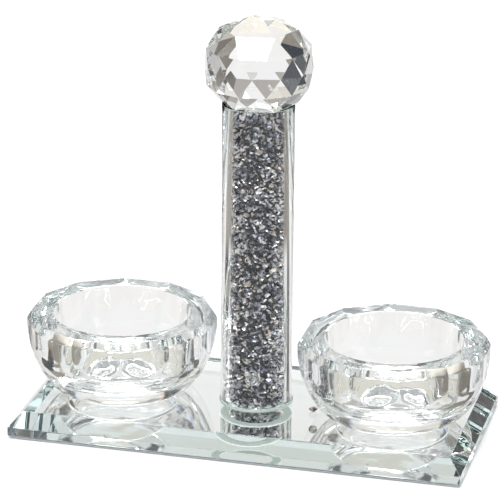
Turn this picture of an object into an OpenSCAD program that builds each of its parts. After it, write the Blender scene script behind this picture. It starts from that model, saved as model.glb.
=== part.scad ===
// Twin crystal dish stand. A bevelled glass plate with a mirror back carries two
// twelve-sided bowls and, between them, a glass tube filled with small cut stones and
// topped with a faceted ball. Thin layers of clear cement hold the pieces together.
// Millimetres, +Z up. The origin is the centre of the underside, and +X runs along the plate.

/* [Plate] */
// Length of the glass plate, along X
plate_l = 153; // [120:0.5:190]
// Width of the glass plate, along Y
plate_w = 70.5; // [56:0.5:90]
// Thickness of the glass
plate_t = 8; // [6:0.1:12]
// Width of the polished bevel round the top face, seen from above
bevel_w = 4.4; // [2:0.1:8]
// Height of the bevel, measured down from the top face
bevel_h = 4.6; // [2:0.1:5]
// Width of the small ground edge round the underside
arris_w = 0.6; // [0.3:0.1:1]
// Thickness of the silver on the underside of the glass
silver_t = 0.1; // [0.05:0.05:0.3]
// Thickness of the protective film over the silver
film_t = 0.3; // [0.1:0.05:1]

/* [Column] */
// Outer diameter of the glass tube
tube_od = 24; // [20:0.1:30]
// Wall of the glass tube
tube_wall = 3; // [1.5:0.1:4]
// Length of the glass tube
tube_l = 104; // [80:0.5:130]
// Thickness of the clear cement under the tube
foot_cement_t = 0.4; // [0.2:0.05:1]
// How far the cement spreads past the foot of the tube
foot_cement_lip = 0.4; // [0:0.05:1]
// Thickness of the clear cement between the tube and the ball
ball_cement_t = 0.2; // [0.1:0.05:0.5]

/* [Stones] */
// Diameter of a stone at its girdle
stone_d = 3; // [2.4:0.1:3.6]
// Depth of a stone from its table to its point
stone_depth = 1.9; // [1.4:0.1:2.4]
// Gap between neighbouring stones, and between the stones and the tube
stone_gap = 0.12; // [0.05:0.01:0.3]

/* [Ball] */
// Radius of the sphere that the corners of the facets lie on
ball_r = 17.9; // [15:0.1:22]
// Height of the top point over the middle of the ball
ball_tip_h = 17.2; // [15:0.1:22]
// Height of the shoulder corners over the middle, which is half a middle facet's height
ball_shoulder_h = 6.3; // [5:0.1:8]
// How far the corners of the ball's flat seat stand out past the tube
ball_seat_lip = 0.8; // [0:0.1:2]
// Turn of the ball about the column, in degrees
ball_turn = 6.8; // [0:0.1:60]

/* [Bowls] */
// Number of panels round a bowl
bowl_sides = 12; // [8:1:16]
// Radius of a bowl over the corners between its panels
bowl_r = 32; // [26:0.1:40]
// Height of a bowl
bowl_h = 27; // [22:0.1:36]
// Radius of the flat foot that a bowl stands on
bowl_foot_r = 19; // [14:0.1:24]
// Thickness of the wall at the rim, over the corners
bowl_wall = 9; // [5:0.1:12]
// Thickness of the floor under the hollow
bowl_floor = 7; // [4:0.1:10]
// How much narrower the hollow is at its floor than at its mouth, in radius
hollow_draft = 1.6; // [0:0.1:3]
// Radius of the round between the floor and the side of the hollow
hollow_round = 7; // [3:0.1:10]
// Radius of the polished inner edge of the rim
rim_round = 0.8; // [0.3:0.1:1.5]
// Width of the slanted facets round the outside of the rim
rim_facet_w = 1.4; // [0.5:0.1:3]
// Height of the slanted facets round the outside of the rim
rim_facet_h = 2.5; // [1:0.1:5]
// Gap between a bowl and the column
bowl_gap = 2.8; // [1:0.1:10]
// Thickness of the clear cement under a bowl
bowl_cement_t = 0.1; // [0.05:0.05:0.3]

/* [Loose stone] */
// How far from the right bowl's foot the stray stone's point touches the plate
stray_away = 7.4; // [7:0.1:10]
// Direction from the middle of the right bowl to the stray stone, in degrees
stray_side = 196.5; // [190:0.5:200]
// Direction that the stray stone's point faces, in degrees
stray_turn = -75; // [-180:5:180]

/* [Hidden] */

round_fn = 96;
stone_sides = 6;
slack = 1;                                   // how far a cutting tool runs past a face

// Heights of the stack, from the underside up
glass_z = film_t + silver_t;
plate_top_z = glass_z + plate_t;
tube_z = plate_top_z + foot_cement_t;
tube_top_z = tube_z + tube_l;
ball_seat_z = tube_top_z + ball_cement_t;
bore_r = tube_od / 2 - tube_wall;

// Ball: the cap's ring of corners, as an angle down from the top point
ball_cap_angle = 45.8;
ball_shoulder_r = ball_r * cos(15);           // keeps the facets round the middle flat
ball_seat_r = tube_od / 2 + ball_seat_lip;
ball_seat_angle = 180 - asin(ball_seat_r / ball_r);
ball_z = ball_seat_z - ball_r * cos(ball_seat_angle);

// Bowl
bowl_x = tube_od / 2 + bowl_gap + bowl_r;
bowl_flat_r = bowl_r * cos(180 / bowl_sides);
swell_r = bowl_r + 0.3;                      // the swell runs past the corners, so they are cut clean
mouth_r = bowl_r - bowl_wall;
widest_z = bowl_h - rim_facet_h;
side_steps = 14;

stray_x = bowl_x + (bowl_foot_r + stray_away) * cos(stray_side);
stray_y = (bowl_foot_r + stray_away) * sin(stray_side);

// Stones
stone_pitch = stone_d + stone_gap;
row_pitch = stone_pitch * sqrt(3) / 2;
table_r = 0.3 * stone_d;
crown_h = 0.16 * stone_d;
shell_r = bore_r - 2 * stone_gap;            // a flat table keeps its corners clear of the bore
stones_per_row = floor(180 / asin(stone_pitch / 2 / (shell_r - crown_h)));
stone_rows = 1 + floor((tube_top_z - plate_top_z - stone_d - 2 * stone_gap) / row_pitch);
core_r = shell_r - stone_depth - stone_gap;
core_h = stone_d + (stone_rows - 1) * row_pitch;

function arc(cx, cy, r, from, to, n = 8) =
    [for (i = [0 : n]) let (a = from + (to - from) * i / n) [cx + r * cos(a), cy + r * sin(a)]];

// Plate ---------------------------------------------------------------------------------

module plate_section(half) {
    polygon([
        [-half + arris_w, 0], [half - arris_w, 0], [half, arris_w],
        [half, plate_t - bevel_h], [half - bevel_w, plate_t],
        [-half + bevel_w, plate_t], [-half, plate_t - bevel_h], [-half, arris_w]
    ]);
}

module base_plate() {
    color([0.80, 0.90, 0.88, 0.5])
    translate([0, 0, glass_z])
    intersection() {
        rotate([90, 0, 0])
            linear_extrude(plate_w, center = true) plate_section(plate_l / 2);
        rotate([90, 0, 90])
            linear_extrude(plate_l, center = true) plate_section(plate_w / 2);
    }
}

module underside_layer(z, t) {
    translate([0, 0, z + t / 2])
        cube([plate_l - 2 * arris_w, plate_w - 2 * arris_w, t], center = true);
}

module mirror_silver() {
    color([0.85, 0.86, 0.87]) underside_layer(film_t, silver_t);
}

module backing_film() {
    color([0.55, 0.56, 0.58]) underside_layer(0, film_t);
}

// Column --------------------------------------------------------------------------------

module foot_cement() {
    color([0.93, 0.95, 0.95, 0.5])
    translate([0, 0, plate_top_z])
    rotate_extrude($fn = round_fn)
        polygon([
            [bore_r, 0], [tube_od / 2 + foot_cement_lip, 0],
            [tube_od / 2, foot_cement_t], [bore_r, foot_cement_t]
        ]);
}

module column_tube() {
    color([0.88, 0.92, 0.93, 0.4])
    translate([0, 0, tube_z])
    difference() {
        cylinder(r = tube_od / 2, h = tube_l, $fn = round_fn);
        translate([0, 0, -slack])
            cylinder(r = bore_r, h = tube_l + 2 * slack, $fn = round_fn);
    }
}

// A cut stone lies with its table in the plane z = 0 and its point down. Its corners are the
// table's, the girdle's and the point.
stone_points = concat(
    [for (k = [0 : stone_sides - 1]) let (a = k * 360 / stone_sides)
        [table_r * cos(a), table_r * sin(a), 0]],
    [for (k = [0 : stone_sides - 1]) let (a = k * 360 / stone_sides)
        [stone_d / 2 * cos(a), stone_d / 2 * sin(a), -crown_h]],
    [[0, 0, -stone_depth]]);

function stone_faces(first) = concat(
    [[for (k = [stone_sides - 1 : -1 : 0]) first + k]],
    [for (k = [0 : stone_sides - 1]) let (next = (k + 1) % stone_sides)
        [first + k, first + next, first + stone_sides + next, first + stone_sides + k]],
    [for (k = [0 : stone_sides - 1]) let (next = (k + 1) % stone_sides)
        [first + stone_sides + k, first + stone_sides + next, first + 2 * stone_sides]]);

// The stone's corners where it stands in the column: table outwards, at height z and angle a
function set_stone(z, a) =
    [for (p = stone_points) let (r = shell_r + p[2])
        [r * cos(a) - p[1] * sin(a), r * sin(a) + p[1] * cos(a), z - p[0]]];

module stone_quarter(q) {
    first = floor(stone_rows * q / 4);
    last = floor(stone_rows * (q + 1) / 4) - 1;
    points = [for (i = [first : last]) for (k = [0 : stones_per_row - 1])
        each set_stone(
            plate_top_z + stone_gap + stone_d / 2 + i * row_pitch,
            (k + (i % 2) / 2) * 360 / stones_per_row)];
    count = len(points) / len(stone_points);
    faces = [for (n = [0 : count - 1]) each stone_faces(n * len(stone_points))];
    color([0.60, 0.62, 0.66]) polyhedron(points, faces);
}

module stones_bottom() { stone_quarter(0); }
module stones_lower() { stone_quarter(1); }
module stones_upper() { stone_quarter(2); }
module stones_top() { stone_quarter(3); }

// The packed stones behind the outer ones
module stone_core() {
    color([0.45, 0.46, 0.50])
    translate([0, 0, plate_top_z + stone_gap])
        cylinder(r = core_r, h = core_h, $fn = round_fn);
}

// Ball ----------------------------------------------------------------------------------

module ball_cement() {
    color([0.93, 0.95, 0.95, 0.5])
    translate([0, 0, tube_top_z])
    difference() {
        cylinder(r = ball_seat_r * cos(30), h = ball_cement_t, $fn = round_fn);
        translate([0, 0, -slack])
            cylinder(r = bore_r, h = ball_cement_t + 2 * slack, $fn = round_fn);
    }
}

function ball_ring(n, r, z, offset) =
    [for (k = [0 : n - 1]) let (a = offset + k * 360 / n) [r * cos(a), r * sin(a), z]];

// Corners: the tip, a ring of 6, three rings of 12 and the 6 corners of the flat seat
module crystal_ball() {
    tip = 0;
    cap = 1;
    high = 7;
    mid = 19;
    low = 31;
    seat = 43;
    points = concat(
        [[0, 0, ball_tip_h]],
        ball_ring(6, ball_r * sin(ball_cap_angle), ball_r * cos(ball_cap_angle), 0),
        ball_ring(12, ball_shoulder_r, ball_shoulder_h, 15),
        ball_ring(12, ball_r, 0, 0),
        ball_ring(12, ball_shoulder_r, -ball_shoulder_h, 15),
        ball_ring(6, ball_seat_r, ball_r * cos(ball_seat_angle), 0));
    faces = concat(
        [for (k = [0 : 5]) [tip, cap + (k + 1) % 6, cap + k]],
        [for (k = [0 : 5]) [cap + k, high + 2 * k, high + (2 * k + 11) % 12]],
        [for (k = [0 : 5]) [cap + k, cap + (k + 1) % 6, high + 2 * k + 1, high + 2 * k]],
        [for (k = [0 : 11]) [high + k, mid + (k + 1) % 12, mid + k]],
        [for (k = [0 : 11]) [high + (k + 11) % 12, high + k, mid + k]],
        [for (k = [0 : 11]) [mid + k, mid + (k + 1) % 12, low + k]],
        [for (k = [0 : 11]) [mid + k, low + k, low + (k + 11) % 12]],
        [for (k = [0 : 5]) [seat + k, low + (2 * k + 11) % 12, low + 2 * k]],
        [for (k = [0 : 5]) [seat + k, low + 2 * k, low + 2 * k + 1, seat + (k + 1) % 6]],
        [[for (k = [0 : 5]) seat + k]]);
    color([0.85, 0.87, 0.90, 0.5])
    translate([0, 0, ball_z])
    rotate([0, 0, ball_turn])
        polyhedron(points, faces, convexity = 2);
}

// Bowls ---------------------------------------------------------------------------------

// Outer half section: from the flat foot the side swells to its widest line, then runs straight up
function side_r(u) = bowl_foot_r + (swell_r - bowl_foot_r) * pow(1 - pow(1 - u, 1.8), 0.55);

module bowl_section() {
    swell = [for (i = [0 : side_steps]) let (u = i / side_steps) [side_r(u), u * widest_z]];
    polygon(concat([[0, 0]], swell, [[swell_r, bowl_h], [0, bowl_h]]));
}

// Half section of the hollow and of the round over the inner edge of the rim
module hollow_section() {
    floor_r = mouth_r - hollow_draft;
    depth = bowl_h - bowl_floor;
    polygon(concat(
        [[0, bowl_floor]],
        arc(floor_r - hollow_round, bowl_floor + hollow_round, hollow_round, -90, 0),
        [[mouth_r, bowl_h - rim_round]],
        arc(mouth_r + rim_round, bowl_h - rim_round, rim_round, 180, 90),
        [[mouth_r + rim_round, bowl_floor + depth + slack], [0, bowl_floor + depth + slack]]));
}

module rim_cutter() {
    reach = 2 * rim_facet_w + 2 * rim_facet_h;
    for (k = [0 : bowl_sides - 1])
        rotate([0, 0, k * 360 / bowl_sides])
            translate([bowl_flat_r - rim_facet_w, 0, bowl_h])
                rotate([0, atan2(rim_facet_h, rim_facet_w), 0])
                    translate([-reach, -bowl_r, 0])
                        cube([3 * reach, 2 * bowl_r, reach]);
}

module bowl() {
    color([0.90, 0.93, 0.94, 0.4])
    difference() {
        intersection() {
            rotate_extrude($fn = round_fn) bowl_section();
            rotate([0, 0, 180 / bowl_sides])
                translate([0, 0, -slack])
                    cylinder(r = bowl_r, h = bowl_h + 2 * slack, $fn = bowl_sides);
        }
        rotate_extrude($fn = round_fn) hollow_section();
        rim_cutter();
    }
}

module bowl_cement() {
    color([0.93, 0.95, 0.95, 0.5])
        cylinder(r = bowl_foot_r, h = bowl_cement_t, $fn = round_fn);
}

module left_cement() {
    translate([-bowl_x, 0, plate_top_z]) bowl_cement();
}

module right_cement() {
    translate([bowl_x, 0, plate_top_z]) bowl_cement();
}

module left_bowl() {
    translate([-bowl_x, 0, plate_top_z + bowl_cement_t]) bowl();
}

module right_bowl() {
    translate([bowl_x, 0, plate_top_z + bowl_cement_t]) bowl();
}

// Stray stone: it lies with a facet of its pointed side flat on the plate
module stray_stone() {
    half_angle = atan2(stone_d / 2 * cos(180 / stone_sides), stone_depth - crown_h);
    color([0.35, 0.36, 0.40])
    translate([stray_x, stray_y, plate_top_z])
    rotate([0, 0, stray_turn + 180])
    rotate([0, 90 - half_angle, 0])
    translate([0, 0, stone_depth])
    rotate([0, 0, 180 / stone_sides])
        polyhedron(stone_points, stone_faces(0));
}

base_plate();
mirror_silver();
backing_film();
foot_cement();
column_tube();
stones_bottom();
stones_lower();
stones_upper();
stones_top();
stone_core();
ball_cement();
crystal_ball();
left_cement();
right_cement();
left_bowl();
right_bowl();
stray_stone();
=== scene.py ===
import math
import random

import bmesh
import bpy
from mathutils import Matrix, Quaternion, Vector


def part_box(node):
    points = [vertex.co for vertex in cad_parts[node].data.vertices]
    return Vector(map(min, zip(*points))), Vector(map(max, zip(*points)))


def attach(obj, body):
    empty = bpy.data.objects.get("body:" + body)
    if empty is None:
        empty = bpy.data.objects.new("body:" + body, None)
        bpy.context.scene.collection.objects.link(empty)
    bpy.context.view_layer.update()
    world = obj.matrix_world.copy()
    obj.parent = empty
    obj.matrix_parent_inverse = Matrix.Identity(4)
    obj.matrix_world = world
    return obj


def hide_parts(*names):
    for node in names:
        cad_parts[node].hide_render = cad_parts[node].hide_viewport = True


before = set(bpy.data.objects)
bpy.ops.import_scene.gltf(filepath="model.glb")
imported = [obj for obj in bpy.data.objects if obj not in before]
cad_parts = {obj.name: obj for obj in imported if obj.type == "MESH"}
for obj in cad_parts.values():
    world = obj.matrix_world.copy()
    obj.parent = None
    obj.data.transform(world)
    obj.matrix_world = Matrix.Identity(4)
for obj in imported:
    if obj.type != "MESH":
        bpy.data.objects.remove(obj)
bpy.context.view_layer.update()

MM = 0.001
ROOT = "root"
rng = random.Random(24)


# Places and sizes ----------------------------------------------------------------------

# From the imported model
plate_lo, plate_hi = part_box("base_plate")
silver_lo, silver_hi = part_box("mirror_silver")
film_lo, film_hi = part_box("backing_film")
foot_lo, foot_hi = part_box("foot_cement")
tube_lo, tube_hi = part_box("column_tube")
cap_lo, cap_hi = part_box("ball_cement")
ball_lo, ball_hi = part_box("crystal_ball")
stray_lo, stray_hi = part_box("stray_stone")
bowl_boxes = {side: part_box(side + "_bowl") for side in ("left", "right")}
plate_top = plate_hi.z
bowl_foot_z = bowl_boxes["left"][0].z

# Sizes that a box doesn't give, the same as the solids'
BEVEL_W = 4.4 * MM
BEVEL_H = 4.6 * MM
ARRIS = 0.6 * MM
TUBE_R = 12.0 * MM
BORE_R = 9.0 * MM
BALL_R = 17.9 * MM
BALL_TIP_H = 17.2 * MM
BALL_SEAT_R = 12.8 * MM
BALL_CAP_ANGLE = math.radians(45.8)
BALL_SHOULDER_H = 6.3 * MM
BALL_TURN = math.radians(6.8)
BOWL_SIDES = 12
BOWL_PITCH = 2 * math.pi / BOWL_SIDES
BOWL_R = 32.0 * MM
BOWL_SWELL_R = BOWL_R + 0.3 * MM
BOWL_FOOT_R = 19.0 * MM
BOWL_WALL = 9.0 * MM
BOWL_FLOOR = 7.0 * MM
HOLLOW_DRAFT = 1.6 * MM
HOLLOW_ROUND = 7.0 * MM
RIM_ROUND = 0.8 * MM
RIM_FACET_W = 1.4 * MM
RIM_FACET_H = 2.5 * MM
STRAY_D = 3.0 * MM
STRAY_DEPTH = 1.9 * MM

# Sizes of details that only this model has
AIR = 0.03 * MM                    # film of air between two pieces of glass that touch
PLATE_EDGE = 0.12 * MM             # width of the plate's softened edges
BALL_EDGE = 0.07 * MM
TUBE_EASE = 0.25 * MM              # rounding of the tube's ends
CEMENT_IN = 0.1 * MM               # how far cement stays inside the edge of its solid
BOWL_CREASE = 0.05 * MM            # rounding of the creases between a bowl's panels
FOOT_ROUND = 0.9 * MM              # rounding of a bowl's foot
FOOT_ROUND_RISE = 0.6              # its height, as a share of its width
TOP_EDGE = 0.12 * MM               # rounding between a bowl's side and the top of its rim
TOP_EDGE_RINGS = (0.05 * MM, 0.15 * MM, 0.35 * MM)     # how far in from the side they lie
SIDE_RINGS = 56                    # rings of points up a bowl's side
FILL_D = 2.7 * MM                  # width of the poured stones
FILL_DEPTH = 1.75 * MM
FILL_APART = 1.92 * MM             # least distance between their middles
FILL_SIZES = (0.9, 1.04)           # smallest and largest, as shares of the width
FILL_CLEAR = 0.05 * MM             # from the stones to the plate and to the ball's cement
FILL_WALL_CLEAR = 0.06 * MM        # from the stones to the bore


# Materials -----------------------------------------------------------------------------

class NodeTree:
    """The node tree of a material or a world, with short calls to add and join nodes."""

    def __init__(self, owner):
        owner.use_nodes = True
        self.tree = owner.node_tree
        self.tree.nodes.clear()

    def add(self, kind, **values):
        node = self.tree.nodes.new(kind)
        for key, value in values.items():
            setattr(node, key, value)
        return node

    def join(self, source, target):
        self.tree.links.new(source, target)

    def feed(self, source, target):
        """Joins two sockets, or sets the target to a plain number."""
        if isinstance(source, (int, float)):
            target.default_value = source
        else:
            self.join(source, target)

    def maths(self, kind, *values):
        node = self.add("ShaderNodeMath", operation=kind)
        for socket, value in zip(node.inputs, values):
            self.feed(value, socket)
        return node.outputs[0]

    def axes(self, vector):
        node = self.add("ShaderNodeSeparateXYZ")
        self.join(vector, node.inputs[0])
        return node.outputs

    def ramp(self, source, *stops):
        """A colour, or a grey given as one number, for each value of the source."""
        node = self.add("ShaderNodeValToRGB")
        elements = node.color_ramp.elements
        while len(elements) < len(stops):
            elements.new(0.5)
        for element, (place, shade) in zip(elements, stops):
            element.position = place
            element.color = (*shade, 1) if isinstance(shade, tuple) else (shade, shade, shade, 1)
        self.join(source, node.inputs["Fac"])
        return node.outputs["Color"]

    def blend(self, share, a, b, kind="MIX"):
        node = self.add("ShaderNodeMix", data_type="RGBA", blend_type=kind)
        self.feed(share, node.inputs["Factor"])
        self.join(a, node.inputs["A"])
        self.join(b, node.inputs["B"])
        return node.outputs["Result"]

    def choose(self, share, first, second):
        """The first shader where share is 0, and the second where it is 1."""
        node = self.add("ShaderNodeMixShader")
        self.join(share, node.inputs[0])
        self.join(first.outputs[0], node.inputs[1])
        self.join(second.outputs[0], node.inputs[2])
        return node


class Surface(NodeTree):
    """The node tree of a new material, with what these materials have in common."""

    def __init__(self, name):
        self.material = bpy.data.materials.new(name)
        super().__init__(self.material)
        self.out = self.add("ShaderNodeOutputMaterial")

    def show(self, shader):
        self.join(shader.outputs[0], self.out.inputs["Surface"])

    def principled(self, **sockets):
        node = self.add("ShaderNodeBsdfPrincipled")
        for key, value in sockets.items():
            node.inputs[key.replace("_", " ")].default_value = value
        self.show(node)
        return node

    def geometry(self, output):
        return self.add("ShaderNodeNewGeometry").outputs[output]

    def coordinates(self, scale=(1, 1, 1)):
        place = self.add("ShaderNodeTexCoord")
        mapping = self.add("ShaderNodeMapping")
        mapping.inputs["Scale"].default_value = scale
        self.join(place.outputs["Object"], mapping.inputs["Vector"])
        return mapping.outputs["Vector"]

    def noise(self, scale, detail=2.0, roughness=0.5, stretch=(1, 1, 1)):
        node = self.add("ShaderNodeTexNoise")
        node.inputs["Scale"].default_value = scale
        node.inputs["Detail"].default_value = detail
        node.inputs["Roughness"].default_value = roughness
        self.join(self.coordinates(stretch), node.inputs["Vector"])
        return node.outputs["Fac"]

    def bump(self, source, shader, strength, distance):
        node = self.add("ShaderNodeBump")
        node.inputs["Strength"].default_value = strength
        node.inputs["Distance"].default_value = distance
        self.join(source, node.inputs["Height"])
        self.join(node.outputs["Normal"], shader.inputs["Normal"])

    def tint(self, colour, density):
        """Colour that light takes on along its way through the glass; density is per metre."""
        node = self.add("ShaderNodeVolumeAbsorption")
        node.inputs["Color"].default_value = (*colour, 1)
        node.inputs["Density"].default_value = density
        self.join(node.outputs["Volume"], self.out.inputs["Volume"])


LEVEL = 0.99                       # least upright part of a level face's normal
SAME_HEIGHT = 0.02 * MM            # how near a ring's height a face has to be
NO_HOLE = -1.0                     # inner radius of a ring that is a full disc


def cemented(surface, rings):
    """1 on the level faces that cement holds, and 0 elsewhere. A ring is (centre, inner radius,
    outer radius, height), and without rings every level face is cemented."""
    normal = surface.axes(surface.geometry("True Normal"))
    level = surface.maths("GREATER_THAN", surface.maths("ABSOLUTE", normal["Z"]), LEVEL)
    if not rings:
        return level
    place = surface.coordinates()
    height = surface.axes(place)["Z"]
    share = 0.0
    for (x, y), inner, outer, z in rings:
        distance = surface.add("ShaderNodeVectorMath", operation="DISTANCE")
        surface.join(place, distance.inputs[0])
        distance.inputs[1].default_value = (x, y, z)
        away = distance.outputs["Value"]
        near = surface.maths("COMPARE", height, z, SAME_HEIGHT)
        ring = surface.maths("MULTIPLY", surface.maths("GREATER_THAN", away, inner),
                             surface.maths("LESS_THAN", away, outer))
        share = surface.maths("MAXIMUM", share, surface.maths("MULTIPLY", near, ring))
    return surface.maths("MULTIPLY", level, share)


def clear_glass(name, ior, colour, density, rings=(), ripple=None):
    """Polished glass, in which light goes straight on where cement holds it to another piece.
    ripple is the (scale, strength, distance, stretch) of its surface waviness."""
    surface = Surface(name)
    shader = surface.principled(Roughness=0.0, IOR=ior, Transmission_Weight=1.0)
    shader.inputs["Base Color"].default_value = (1, 1, 1, 1)
    surface.tint(colour, density)
    if ripple:
        scale, strength, distance, stretch = ripple
        surface.bump(surface.noise(scale, 1.5, 0.5, stretch), shader, strength, distance)
    straight = surface.add("ShaderNodeBsdfTransparent")
    surface.show(surface.choose(cemented(surface, rings), shader, straight))
    return surface.material


def grained(name, grain, low, high, relief=None, **sockets):
    """A surface whose colour wanders between two. grain is the (scale, detail, roughness) of its
    noise, and relief is the (strength, distance) of the same noise as a bump."""
    surface = Surface(name)
    shader = surface.principled(**sockets)
    noise = surface.noise(*grain)
    surface.join(surface.ramp(noise, (0.3, low), (0.7, high)), shader.inputs["Base Color"])
    if relief:
        surface.bump(noise, shader, *relief)
    return surface.material


def milky_cement_painted_glow():
    """Cement against the ground end of the tube, which scatters the light that comes down it. The
    scatter is translucent, and a faint painted glow is added in place of that light.
    """
    surface = Surface("milky_cement_painted_glow")
    cloud = surface.noise(700.0, 3.0, 0.6)
    scatter = surface.add("ShaderNodeBsdfTranslucent")
    surface.join(surface.ramp(cloud, (0.3, (0.88, 0.97, 0.92)), (0.7, (0.95, 1.0, 0.98))),
                 scatter.inputs["Color"])
    # Painted glow: a faint emission that brightens the cement, though it is no lamp
    painted_glow = surface.add("ShaderNodeEmission")
    painted_glow.inputs["Color"].default_value = (0.78, 0.93, 0.85, 1)
    painted_glow.inputs["Strength"].default_value = 0.28
    pale = surface.add("ShaderNodeAddShader")
    surface.join(scatter.outputs[0], pale.inputs[0])
    surface.join(painted_glow.outputs[0], pale.inputs[1])
    clear = surface.add("ShaderNodeBsdfTransparent")
    surface.show(surface.choose(surface.geometry("Backfacing"), pale, clear))
    return surface.material


def stone_shine(name, dark, mid, brown, light):
    """Cut stone that mirrors its surroundings. Each stone has its own shade, and small painted
    highlights and painted shadows in its colour stand for its inner facets."""
    surface = Surface(name)
    shader = surface.principled(Metallic=0.72, Roughness=0.06)
    own = surface.ramp(surface.geometry("Random Per Island"), (0.0, dark), (0.3, mid), (0.5, brown),
                       (0.75, light), (1.0, (0.97, 0.98, 1.0)))
    # Painted highlights and painted shadows: cells of the colour run from near black to white, in
    # place of light and dark off the inner facets
    cells = surface.add("ShaderNodeTexVoronoi")
    cells.inputs["Scale"].default_value = 1300.0
    surface.join(surface.coordinates(), cells.inputs["Vector"])
    channels = surface.add("ShaderNodeSeparateColor")
    surface.join(cells.outputs["Color"], channels.inputs["Color"])
    painted_glints_and_shade = surface.ramp(channels.outputs["Red"], (0.0, (0.03, 0.03, 0.04)),
                          (0.24, (0.09, 0.09, 0.11)), (0.38, (0.36, 0.38, 0.44)),
                          (0.52, (0.72, 0.68, 0.64)), (0.62, 1.0))
    surface.join(surface.blend(1.0, own, painted_glints_and_shade, "MULTIPLY"), shader.inputs["Base Color"])
    return surface.material


def middle(low, high):
    """The middle of a box, seen from above."""
    return (low.x + high.x) / 2, (low.y + high.y) / 2


bowl_centres = [middle(low, high) for low, high in bowl_boxes.values()]

plate_glass = clear_glass(
    "plate_glass", 1.52, (0.20, 0.60, 0.62), 2.6,
    rings=[((0, 0), BORE_R, foot_hi.x, plate_top)]
    + [(centre, NO_HOLE, BOWL_FOOT_R, plate_top) for centre in bowl_centres])
tube_glass = clear_glass("tube_glass", 1.50, (0.45, 0.60, 0.60), 2.0,
                         ripple=(40.0, 0.05, 0.00004, (1, 1, 0.1)))
bowl_glass = clear_glass(
    "bowl_glass", 1.52, (0.45, 0.60, 0.62), 2.0,
    rings=[(centre, NO_HOLE, BOWL_FOOT_R, bowl_foot_z + AIR) for centre in bowl_centres],
    ripple=(105.0, 0.6, 0.0005, (1, 1, 0.8)))
ball_glass = clear_glass("ball_glass", 1.56, (0.55, 0.55, 0.50), 1.5,
                         rings=[((0, 0), BORE_R, cap_hi.x, ball_lo.z)])
clear_cement = clear_glass("cement_clear", 1.50, (0.5, 0.6, 0.6), 4.0)
tube_cement = milky_cement_painted_glow()
mirror = grained("mirror_face", (14.0, 2.0, 0.5), (0.925, 0.935, 0.93), (0.945, 0.95, 0.945),
                 Metallic=1.0, Roughness=0.0)
backing = grained("backing_paint", (900.0, 4.0, 0.6), (0.80, 0.79, 0.76), (0.86, 0.85, 0.82),
                  relief=(0.4, 0.00003), Roughness=0.55)
# The narrow edge round the underside of the plate is ground, but not polished
ground_edge = grained("ground_edge", (2200.0, 3.0, 0.6), (0.13, 0.20, 0.26), (0.20, 0.29, 0.37),
                      relief=(0.3, 0.00002), Roughness=0.4)
# Both stone materials carry painted highlights and painted shadows in their colour
smoky_stone = stone_shine("smoky_stone", (0.24, 0.26, 0.32), (0.60, 0.63, 0.70),
                          (0.76, 0.70, 0.64), (0.95, 0.97, 1.0))
dark_stone = stone_shine("dark_stone", (0.70, 0.62, 0.54), (0.74, 0.66, 0.58),
                         (0.78, 0.70, 0.62), (0.85, 0.80, 0.74))


# Meshes --------------------------------------------------------------------------------

def place_piece(name, mesh, materials, nodes):
    """Puts a mesh in the scene as a piece that rides on the body and stands for CAD nodes."""
    for material in materials:
        mesh.materials.append(material)
    obj = bpy.data.objects.new(name, mesh)
    bpy.context.scene.collection.objects.link(obj)
    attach(obj, ROOT)
    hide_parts(*nodes)
    return obj


def piece(name, bm, materials, nodes):
    """A finished bmesh as a piece."""
    bmesh.ops.recalc_face_normals(bm, faces=bm.faces)
    mesh = bpy.data.meshes.new(name)
    bm.to_mesh(mesh)
    bm.free()
    return place_piece(name, mesh, materials, nodes)


def soften(obj, width, segments):
    """Takes the knife edge off the sharp edges, as a polisher's wheel does."""
    bevel = obj.modifiers.new("edges", "BEVEL")
    bevel.width = width
    bevel.segments = segments
    bevel.limit_method = "ANGLE"
    bevel.angle_limit = math.radians(12)
    bevel.harden_normals = True


def smooth_by_angle(obj, degrees):
    """Smooth shading, apart from edges that turn by more than an angle."""
    obj.data.shade_smooth()
    obj.data.set_sharp_from_angle(angle=math.radians(degrees))


def rectangle(half_x, half_y, z):
    return [(-half_x, -half_y, z), (half_x, -half_y, z), (half_x, half_y, z), (-half_x, half_y, z)]


def circle(r, z, n, centre=(0, 0)):
    return [(centre[0] + r * math.cos(2 * math.pi * k / n),
             centre[1] + r * math.sin(2 * math.pi * k / n), z) for k in range(n)]


def band(bm, low, high):
    """Quads between two rings with the same number of corners."""
    n = len(low)
    for k in range(n):
        bm.faces.new((low[k], low[(k + 1) % n], high[(k + 1) % n], high[k]))


def loft(rings):
    """A solid through rings of points, closed by its first and its last ring."""
    bm = bmesh.new()
    rows = [[bm.verts.new(p) for p in ring] for ring in rings]
    for low, high in zip(rows, rows[1:]):
        band(bm, low, high)
    bm.faces.new(rows[0][::-1])
    bm.faces.new(rows[-1])
    return bm


def turned(profile, sides):
    """A solid ring: the closed profile's points (r, z) turned about the column's axis."""
    bm = bmesh.new()
    rows = [[bm.verts.new(p) for p in circle(r, z, sides)] for r, z in profile]
    for row, after in zip(rows, rows[1:] + rows[:1]):
        band(bm, row, after)
    return bm


# Plate ---------------------------------------------------------------------------------

def make_plate():
    """Bevelled glass, with the mirror on its underside and a ground edge round that."""
    x, y = plate_hi.x, plate_hi.y
    bm = loft([rectangle(x - ARRIS, y - ARRIS, plate_lo.z), rectangle(x, y, plate_lo.z + ARRIS),
               rectangle(x, y, plate_top - BEVEL_H),
               rectangle(x - BEVEL_W, y - BEVEL_W, plate_top)])
    plate = piece("plate", bm, [plate_glass, mirror, ground_edge], ["base_plate"])
    for polygon in plate.data.polygons:
        if polygon.normal.z < -LEVEL:
            polygon.material_index = 1
        elif polygon.normal.z < -0.1:
            polygon.material_index = 2
    soften(plate, PLATE_EDGE, 2)


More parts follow.
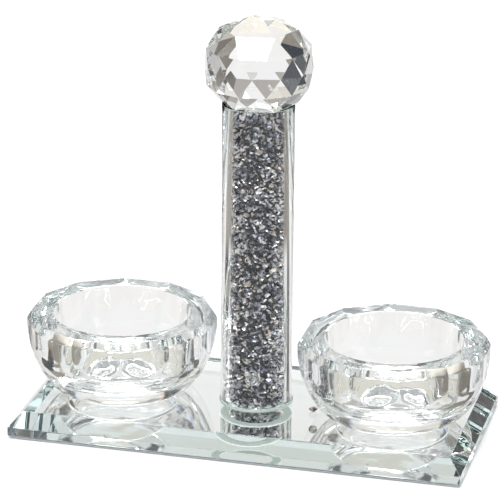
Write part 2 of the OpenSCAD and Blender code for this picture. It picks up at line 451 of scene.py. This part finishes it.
def make_layer(name, low, high, chamfer, material, node):
    """A thin layer under the plate, with its edge slightly worn."""
    x, y = high.x, high.y
    bm = loft([rectangle(x - chamfer, y - chamfer, low.z), rectangle(x, y, low.z + chamfer),
               rectangle(x, y, high.z - chamfer), rectangle(x - chamfer, y - chamfer, high.z)])
    piece(name, bm, [material], [node])


make_plate()
make_layer("silver_layer", silver_lo, silver_hi - Vector((0, 0, AIR)), 0.02 * MM, mirror,
           "mirror_silver")
make_layer("backing_layer", film_lo, film_hi, 0.08 * MM, backing, "backing_film")


# Column and cement ---------------------------------------------------------------------

def make_tube():
    """The glass tube, with its ends slightly rounded."""
    low, high = tube_lo.z + AIR, tube_hi.z - AIR
    corner = 0.3 * TUBE_EASE
    profile = [(BORE_R + TUBE_EASE, low), (TUBE_R - TUBE_EASE, low),
               (TUBE_R - corner, low + corner), (TUBE_R, low + TUBE_EASE),
               (TUBE_R, high - TUBE_EASE), (TUBE_R - corner, high - corner),
               (TUBE_R - TUBE_EASE, high), (BORE_R + TUBE_EASE, high),
               (BORE_R, high - TUBE_EASE), (BORE_R, low + TUBE_EASE)]
    tube = piece("tube", turned(profile, sides=192), [tube_glass], ["column_tube"])
    smooth_by_angle(tube, 25)


def make_column_cement():
    """Cement between plate and tube, squeezed out into a fillet."""
    inner, lip = BORE_R + CEMENT_IN, foot_hi.x
    low, high = foot_lo.z + AIR, foot_hi.z - AIR
    profile = [(inner, low), (lip - CEMENT_IN, low), (lip - 2 * CEMENT_IN, foot_lo.z + 0.18 * MM),
               (TUBE_R - CEMENT_IN, high), (inner, high)]
    cement = piece("column_cement", turned(profile, sides=128), [tube_cement], ["foot_cement"])
    smooth_by_angle(cement, 30)


def make_ball_cement():
    """Cement between tube and ball, with a slightly sloping rim."""
    inner, outer = BORE_R + CEMENT_IN, cap_hi.x - CEMENT_IN
    low, high = cap_lo.z + AIR, cap_hi.z - AIR
    profile = [(inner, low), (outer + CEMENT_IN / 2, low), (outer, high), (inner, high)]
    cement = piece("ball_seat_cement", turned(profile, sides=128), [tube_cement], ["ball_cement"])
    smooth_by_angle(cement, 30)


def make_bowl_cement(side):
    """A disc of cement under a bowl, with its rim slightly rounded."""
    low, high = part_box(side + "_cement")
    reach = (high.x - low.x) / 2
    rings = [(reach - 3 * CEMENT_IN, low.z + AIR / 2), (reach - CEMENT_IN, low.z + AIR),
             (reach - CEMENT_IN, high.z - AIR), (reach - 3 * CEMENT_IN, high.z - AIR / 2)]
    bm = loft([circle(r, z, 96, middle(low, high)) for r, z in rings])
    cement = piece(side + "_bowl_cement", bm, [clear_cement], [side + "_cement"])
    smooth_by_angle(cement, 30)


make_tube()
make_column_cement()
make_ball_cement()
for side in bowl_boxes:
    make_bowl_cement(side)


# Ball ----------------------------------------------------------------------------------

ball_z = ball_hi.z - BALL_TIP_H    # height of the ball's middle


def ball_ring(n, r, z, offset):
    """n corners of the ball, z above its middle and turned by offset degrees."""
    start = BALL_TURN + math.radians(offset)
    return [(r * math.cos(start + 2 * math.pi * k / n), r * math.sin(start + 2 * math.pi * k / n),
             ball_z + z) for k in range(n)]


def make_ball():
    """Flat facets between a point on top and rings of six, twelve, twelve, twelve and six corners."""
    shoulder_r = BALL_R * math.cos(math.pi / 12)
    corners = ([(0, 0, ball_hi.z)]
               + ball_ring(6, BALL_R * math.sin(BALL_CAP_ANGLE), BALL_R * math.cos(BALL_CAP_ANGLE), 0)
               + ball_ring(12, shoulder_r, BALL_SHOULDER_H, 15)
               + ball_ring(12, BALL_R, 0, 0)
               + ball_ring(12, shoulder_r, -BALL_SHOULDER_H, 15)
               + ball_ring(6, BALL_SEAT_R, ball_lo.z - ball_z, 0))
    bm = bmesh.new()
    for corner in corners:
        bm.verts.new(corner)
    bmesh.ops.convex_hull(bm, input=bm.verts)
    bmesh.ops.dissolve_limit(bm, angle_limit=math.radians(1.0), verts=bm.verts, edges=bm.edges)
    ball = piece("faceted_ball", bm, [ball_glass], ["crystal_ball"])
    soften(ball, BALL_EDGE, 1)


make_ball()


# Bowls ---------------------------------------------------------------------------------

def soft_least(values, edge):
    """The least of some lengths, with the crease where two are equal rounded over edge."""
    low = min(values)
    return low - edge * math.log(sum(math.exp(-(v - low) / edge) for v in values))


def side_r(u):
    """Radius of the swelling side, before its panels are cut: u is 0 at the foot, 1 at the widest."""
    rise = min(max(u, 0), 1)
    return BOWL_FOOT_R + (BOWL_SWELL_R - BOWL_FOOT_R) * (1 - (1 - rise) ** 1.8) ** 0.55


def outer_r(z, height, a):
    """Radius of a bowl's outside at a height and an angle, with its panels and its rim's facets."""
    flat = BOWL_R * math.cos(math.pi / BOWL_SIDES)
    off = (a + BOWL_PITCH / 2) % BOWL_PITCH - BOWL_PITCH / 2
    rim = flat - RIM_FACET_W + (height - z) * RIM_FACET_W / RIM_FACET_H
    return soft_least([side_r(z / (height - RIM_FACET_H)), flat / math.cos(off), rim / math.cos(off)],
                      BOWL_CREASE)


def bowl_angles():
    """Angles round a bowl, closer together near the corners between its panels."""
    steps = ([0.0, 0.004, 0.009, 0.016, 0.027] + [0.045 + 0.07 * i for i in range(14)]
             + [0.973, 0.984, 0.991, 0.996])
    return [(k + 0.5 + s) * BOWL_PITCH for k in range(BOWL_SIDES) for s in steps]


def shares(steps):
    """Equal steps up to 1, without 0."""
    return [(i + 1) / steps for i in range(steps)]


def quarter_turn(steps):
    """Equal steps from 0 to 90 degrees."""
    return [math.radians(90 * i / steps) for i in range(steps + 1)]


def foot_rings():
    """(radius, height) of the rings under the foot and round its edge."""
    flat_r = BOWL_FOOT_R - FOOT_ROUND
    yield from ((share * flat_r, 0.0) for share in (0.25, 0.5, 0.75, 0.9, 0.97))
    for turn in quarter_turn(6):
        yield flat_r + FOOT_ROUND * math.sin(turn), FOOT_ROUND * (1 - math.cos(turn)) * FOOT_ROUND_RISE


def hollow_rings(height):
    """(radius, height) of the rings from the rim's inner edge down to the hollow's floor."""
    mouth_r = BOWL_R - BOWL_WALL
    floor_r = mouth_r - HOLLOW_DRAFT
    bottom = BOWL_FLOOR + HOLLOW_ROUND
    for turn in quarter_turn(8):
        yield (mouth_r + RIM_ROUND - RIM_ROUND * math.sin(turn),
               height - RIM_ROUND + RIM_ROUND * math.cos(turn))
    for share in shares(14):
        yield (mouth_r + (floor_r - mouth_r) * share,
               (height - RIM_ROUND) * (1 - share) + bottom * share)
    for turn in quarter_turn(12)[1:]:
        yield (floor_r - HOLLOW_ROUND + HOLLOW_ROUND * math.cos(turn),
               bottom - HOLLOW_ROUND * math.sin(turn))
    yield from ((share * (floor_r - HOLLOW_ROUND), BOWL_FLOOR) for share in (0.8, 0.6, 0.4, 0.2))


def bowl_mesh(centre, low, high):
    """A bowl as rings of points, from the middle of its foot up the outside and down the hollow."""
    bm = bmesh.new()
    angles = bowl_angles()
    height = high - low
    rows = []

    def ring(radius, z):
        """A ring at one height, whose radius is a length or a rule that gives it by angle."""
        radii = [radius(a) for a in angles] if callable(radius) else [radius] * len(angles)
        rows.append([bm.verts.new((centre.x + r * math.cos(a), centre.y + r * math.sin(a), low + z))
                     for r, a in zip(radii, angles)])

    for r, z in foot_rings():
        ring(r, z)
    side_lo, side_hi = FOOT_ROUND * FOOT_ROUND_RISE, height - TOP_EDGE
    for share in shares(SIDE_RINGS):
        z = side_lo + (side_hi - side_lo) * share
        ring(lambda a: outer_r(z, height, a), z)
    for inset in TOP_EDGE_RINGS:
        ring(lambda a: outer_r(side_hi, height, a) - inset, height - max(0.0, TOP_EDGE - inset))
    inner_edge_r = BOWL_R - BOWL_WALL + RIM_ROUND
    for share in (0.2, 0.4, 0.6, 0.8, 0.95):
        ring(lambda a: ((1 - share) * (outer_r(side_hi, height, a) - TOP_EDGE_RINGS[-1])
                        + share * inner_edge_r), height)
    for r, z in hollow_rings(height):
        ring(r, z)
    for before, after in zip(rows, rows[1:]):
        band(bm, before, after)
    for row, z in ((rows[0], low), (rows[-1], low + BOWL_FLOOR)):
        tip = bm.verts.new((centre.x, centre.y, z))
        for corner, after in zip(row, row[1:] + row[:1]):
            bm.faces.new((corner, after, tip))
    return bm


for side, (low, high) in bowl_boxes.items():
    bm = bowl_mesh((low + high) / 2, low.z + AIR, high.z - 0.01 * MM)
    bowl = piece(side + "_glass_bowl", bm, [bowl_glass], [side + "_bowl"])
    smooth_by_angle(bowl, 60)


# Stones --------------------------------------------------------------------------------

CROWN = 0.17                       # height of a stone's crown, as a share of its width


def corners_at(r, z, n, start=0.0):
    """Corners of a level polygon, the first at an angle in degrees."""
    angles = [math.radians(start + 360 / n * k) for k in range(n)]
    return [Vector((r * math.cos(a), r * math.sin(a), z)) for a in angles]


def stone_shape(d, depth):
    """Corners and faces of a round brilliant: table, crown, girdle and pavilion."""
    r = d / 2
    crown = CROWN * d
    table = corners_at(0.56 * r, 0, 8)
    star = corners_at(0.80 * r, -0.5 * crown, 8, 22.5)
    girdle = corners_at(r, -crown, 16)
    under = corners_at(r, -crown - 0.03 * d, 16)
    lower = corners_at(0.42 * r, -crown - 0.62 * (depth - crown), 8, 22.5)
    points = table + star + girdle + under + lower + [Vector((0, 0, -depth))]
    t, s, g, u, w, tip = 0, 8, 16, 32, 48, 56     # where each ring's corners start
    faces = [tuple(t + k for k in range(8))]
    for k in range(8):
        after = (k + 1) % 8
        g0, g1, g2 = 2 * k, 2 * k + 1, (2 * k + 2) % 16
        faces.append((t + k, s + k, t + after))
        faces.append((t + k, g + g0, s + k))
        faces.append((t + after, s + k, g + g2))
        faces.append((s + k, g + g0, g + g1))
        faces.append((s + k, g + g1, g + g2))
        faces.append((g + g0, u + g0, u + g1, g + g1))
        faces.append((g + g1, u + g1, u + g2, g + g2))
        faces.append((u + g0, w + k, u + g1))
        faces.append((u + g1, w + k, u + g2))
        faces.append((u + g0, tip, w + k))
        faces.append((w + k, tip, u + g2))
    return points, faces


TRIES = 26                         # places tried for each stone
AT_WALL = 0.35                     # share of the tries that are moved to the wall
WALL_FROM, WALL_DEPTH = 0.93, 0.07     # where such a try falls, as shares of the radius
LATEST = 14                        # stones of a cell that a new one may still rest on


def packed_centres(radius, low, high, apart):
    """Centres of stones poured into the tube: each new one settles in the lowest place tried."""
    placed, cells = [], {}
    while True:
        best = None
        for _ in range(TRIES):
            r = radius * math.sqrt(rng.random())
            if rng.random() < AT_WALL:
                r = radius * (WALL_FROM + WALL_DEPTH * rng.random())
            a = rng.uniform(0, 2 * math.pi)
            x, y, z = r * math.cos(a), r * math.sin(a), low
            column, row = math.floor(x / apart), math.floor(y / apart)
            for i in (column - 1, column, column + 1):
                for j in (row - 1, row, row + 1):
                    for q in cells.get((i, j), ())[-LATEST:]:
                        d2 = (q[0] - x) ** 2 + (q[1] - y) ** 2
                        if d2 < apart * apart:
                            z = max(z, q[2] + math.sqrt(apart * apart - d2))
            if best is None or z < best[2]:
                best = (x, y, z)
        if best[2] > high:
            return placed
        placed.append(best)
        cell = (math.floor(best[0] / apart), math.floor(best[1] / apart))
        cells.setdefault(cell, []).append(best)


def random_turn():
    """A turn that is equally likely to be any turn."""
    u, v, w = rng.random(), rng.random(), rng.random()
    return Quaternion((math.sqrt(1 - u) * math.sin(2 * math.pi * v),
                       math.sqrt(1 - u) * math.cos(2 * math.pi * v),
                       math.sqrt(u) * math.sin(2 * math.pi * w),
                       math.sqrt(u) * math.cos(2 * math.pi * w))).to_matrix()


def pour_stones():
    """Stones at random in the tube. Those near the wall are pushed out until they touch it."""
    shape, faces = stone_shape(FILL_D, FILL_DEPTH)
    heart = Vector((0, 0, -0.36 * FILL_DEPTH))     # the point of a stone that it is turned about
    wall = BORE_R - FILL_WALL_CLEAR
    near_wall = wall - 2.3 * MM
    low, high = plate_top + FILL_CLEAR, tube_hi.z - FILL_CLEAR
    points, polygons = [], []
    for x, y, z in packed_centres(wall - 1.0 * MM, low + 1.0 * MM, high - 0.9 * MM, FILL_APART):
        turn = random_turn() * rng.uniform(*FILL_SIZES)
        stone = [turn @ (p - heart) + Vector((x, y, z)) for p in shape]
        reach = max(math.hypot(p.x, p.y) for p in stone)
        away = math.hypot(x, y)
        if reach > wall or away > near_wall:
            push = (wall - reach) / max(away, 1e-6)
            stone = [Vector((p.x + x * push, p.y + y * push, p.z)) for p in stone]
        lift = max(0.0, low - min(p.z for p in stone)) - max(0.0, max(p.z for p in stone) - high)
        first = len(points)
        points.extend((p.x, p.y, p.z + lift) for p in stone)
        polygons.extend(tuple(first + i for i in face) for face in faces)
    mesh = bpy.data.meshes.new("stone_fill")
    mesh.from_pydata(points, [], polygons)
    place_piece("stone_fill", mesh, [smoky_stone],
                ["stones_bottom", "stones_lower", "stones_upper", "stones_top", "stone_core"])


def lay_stray_stone():
    """One stone on its side on the plate, with its point towards the front."""
    shape, faces = stone_shape(STRAY_D, STRAY_DEPTH)
    lean = math.atan2(STRAY_D / 2, STRAY_DEPTH - CROWN * STRAY_D)
    turn = (Matrix.Rotation(math.radians(105), 3, "Z")
            @ Matrix.Rotation(math.pi / 2 - lean, 3, "Y"))
    stone = [turn @ (p + Vector((0, 0, STRAY_DEPTH))) for p in shape]
    low, high = [[pick(p[axis] for p in stone) for axis in range(3)] for pick in (min, max)]
    place = (stray_lo + stray_hi) / 2
    shift = Vector((place.x - (low[0] + high[0]) / 2, place.y - (low[1] + high[1]) / 2,
                    stray_lo.z + AIR - low[2]))
    mesh = bpy.data.meshes.new("stray_chip")
    mesh.from_pydata([tuple(p + shift) for p in stone], [], faces)
    place_piece("stray_chip", mesh, [dark_stone], ["stray_stone"])


pour_stones()
lay_stray_stone()


# Studio --------------------------------------------------------------------------------

def make_floor():
    """A pale floor. The glass shows the studio all round it, and not the floor."""
    paint = grained("pale_floor", (2.0, 2.0, 0.5), (0.90, 0.90, 0.90), (0.93, 0.93, 0.93),
                    Roughness=0.9)
    bm = loft([rectangle(6.0, 6.0, -0.02), rectangle(6.0, 6.0, -0.0002)])
    mesh = bpy.data.meshes.new("floor")
    bm.to_mesh(mesh)
    bm.free()
    mesh.materials.append(paint)
    floor = bpy.data.objects.new("floor", mesh)
    bpy.context.scene.collection.objects.link(floor)
    floor.visible_transmission = False
    floor.visible_glossy = False


WARM = (1.0, 0.62, 0.30)
COOL = (0.30, 0.48, 1.0)
UMBER = (0.15, 0.135, 0.115)
SLATE = (0.035, 0.045, 0.058)
DUSK = (0.30, 0.32, 0.35)
GREY = (0.44, 0.42, 0.40)
CREAM = (0.80, 0.76, 0.68)
PALE = (0.93, 0.92, 0.91)
SUNNY = (1.03, 0.98, 0.87)
SHADE_LEFT = (0.30, 0.28, 0.24)
SHADE_RIGHT = (0.22, 0.20, 0.17)


def studio_colour(nodes, turn, z):
    """The studio's colour in each direction. turn goes round the object from 0 to 1, with 0 at -X,
    0.25 at -Y, 0.5 at +X and 0.75 at +Y, and z is how far the direction points up."""
    # Level with the object: pale walls with dark gaps, and a bright back wall with coloured edges
    level = nodes.ramp(turn, (0.0, 0.95), (0.075, 0.95), (0.085, UMBER), (0.12, UMBER),
                       (0.13, 0.62), (0.35, 0.62), (0.37, DUSK), (0.41, DUSK), (0.42, 0.95),
                       (0.655, 0.85), (0.668, UMBER), (0.708, UMBER), (0.7105, COOL),
                       (0.713, 0.93), (0.861, 0.93), (0.8635, WARM), (0.866, SLATE),
                       (0.926, SLATE), (0.932, 0.95), (1.0, 0.95))
    # A grey strip across the back wall, a little above the horizon, shows in the ball's lower half
    strip = nodes.ramp(turn, (0.713, 1.0), (0.716, GREY), (0.858, GREY), (0.861, 1.0))
    in_strip = nodes.ramp(z, (0.05, 0.0), (0.07, 1.0), (0.27, 1.0), (0.29, 0.0))
    level = nodes.blend(in_strip, level, strip, "MULTIPLY")
    # Above that: a bright softbox on each side of the camera, and a cream wall behind the object
    middle = nodes.ramp(turn, (0.0, 0.12), (0.05, 0.12), (0.06, 1.8), (0.13, 1.8), (0.14, 0.5),
                        (0.39, 0.5), (0.40, 1.8), (0.47, 1.8), (0.48, 0.12), (0.70, 0.12),
                        (0.715, CREAM), (0.862, CREAM), (0.875, 0.12), (1.0, 0.12))
    # The ceiling is a little brighter behind the object
    high = nodes.ramp(turn, (0.0, 0.75), (0.68, 0.75), (0.72, 1.05), (0.86, 1.05), (0.90, 0.75),
                      (1.0, 0.75))
    # Below: the table, pale in front and behind, shaded at the sides, and warm right underneath
    low = nodes.ramp(turn, (0.0, SHADE_LEFT), (0.08, SHADE_LEFT), (0.12, 0.78), (0.42, 0.78),
                     (0.46, SHADE_RIGHT), (0.705, SHADE_RIGHT), (0.712, PALE), (0.862, PALE),
                     (0.870, SHADE_LEFT), (1.0, SHADE_LEFT))
    steep = nodes.ramp(turn, (0.0, SUNNY), (1.0, SUNNY))
    depth = nodes.maths("MULTIPLY", z, -1.0)
    colour = nodes.blend(nodes.ramp(z, (0.395, 0.0), (0.43, 1.0)), level, middle)
    colour = nodes.blend(nodes.ramp(z, (0.60, 0.0), (0.66, 1.0)), colour, high)
    colour = nodes.blend(nodes.ramp(depth, (0.35, 0.0), (0.39, 1.0)), colour, low)
    return nodes.blend(nodes.ramp(depth, (0.66, 0.0), (0.76, 1.0)), colour, steep)


def studio_world():
    """Plain white behind the object, and round it the studio that lights it and that it mirrors."""
    world = bpy.data.worlds.new("studio")
    bpy.context.scene.world = world
    nodes = NodeTree(world)
    x, y, z = nodes.axes(nodes.add("ShaderNodeTexCoord").outputs["Generated"])
    turn = nodes.maths("ADD", nodes.maths("MULTIPLY", nodes.maths("ARCTAN2", y, x), 1 / (2 * math.pi)),
                       0.5)
    studio = nodes.add("ShaderNodeBackground")
    nodes.join(studio_colour(nodes, turn, z), studio.inputs["Color"])
    white = nodes.add("ShaderNodeBackground")
    white.inputs["Color"].default_value = (1, 1, 1, 1)
    seen = nodes.add("ShaderNodeLightPath").outputs["Is Camera Ray"]
    out = nodes.add("ShaderNodeOutputWorld")
    nodes.join(nodes.choose(seen, studio, white).outputs[0], out.inputs["Surface"])


def softbox(name, place, aim, size, watts):
    light = bpy.data.lights.new(name, "AREA")
    light.shape = "RECTANGLE"
    light.size, light.size_y = size
    light.energy = watts
    obj = bpy.data.objects.new(name, light)
    obj.location = place
    obj.rotation_euler = (Vector(aim) - Vector(place)).to_track_quat("-Z", "Y").to_euler()
    bpy.context.scene.collection.objects.link(obj)


make_floor()
studio_world()
softbox("top_softbox", (0.0, -0.1, 1.3), (0, 0, 0), (1.0, 1.0), 20.0)


# Camera --------------------------------------------------------------------------------

def make_camera(eye, target, roll, lens):
    """A camera at eye that looks at target, rolled by an angle; lens is for a 36 mm sensor."""
    camera_data = bpy.data.cameras.new("camera")
    camera_data.sensor_width = 36.0
    camera_data.lens = lens
    camera = bpy.data.objects.new("camera", camera_data)
    bpy.context.scene.collection.objects.link(camera)
    ahead = (target - eye).normalized()
    right = ahead.cross(Vector((0, 0, 1))).normalized()
    above = right.cross(ahead)
    right, above = (right * math.cos(roll) + above * math.sin(roll),
                    above * math.cos(roll) - right * math.sin(roll))
    camera.matrix_world = Matrix((right, above, -ahead)).transposed().to_4x4()
    camera.location = eye
    return camera


bpy.context.scene.camera = make_camera(Vector((235.0, -952.2, 427.64)) * MM,
                                       Vector((36.18, -155.20, 120.99)) * MM,
                                       math.radians(0.42), 227.99)

scene = bpy.context.scene
scene.view_settings.view_transform = "Standard"
scene.view_settings.look = "None"
scene.cycles.use_denoising = True
scene.cycles.denoising_prefilter = "ACCURATE"
# Light crosses many faces of glass on its way through the bowls and back from the mirror
scene.cycles.max_bounces = 96
scene.cycles.transmission_bounces = 96
scene.cycles.glossy_bounces = 32
scene.cycles.transparent_max_bounces = 48
scene.cycles.sample_clamp_indirect = 6.0
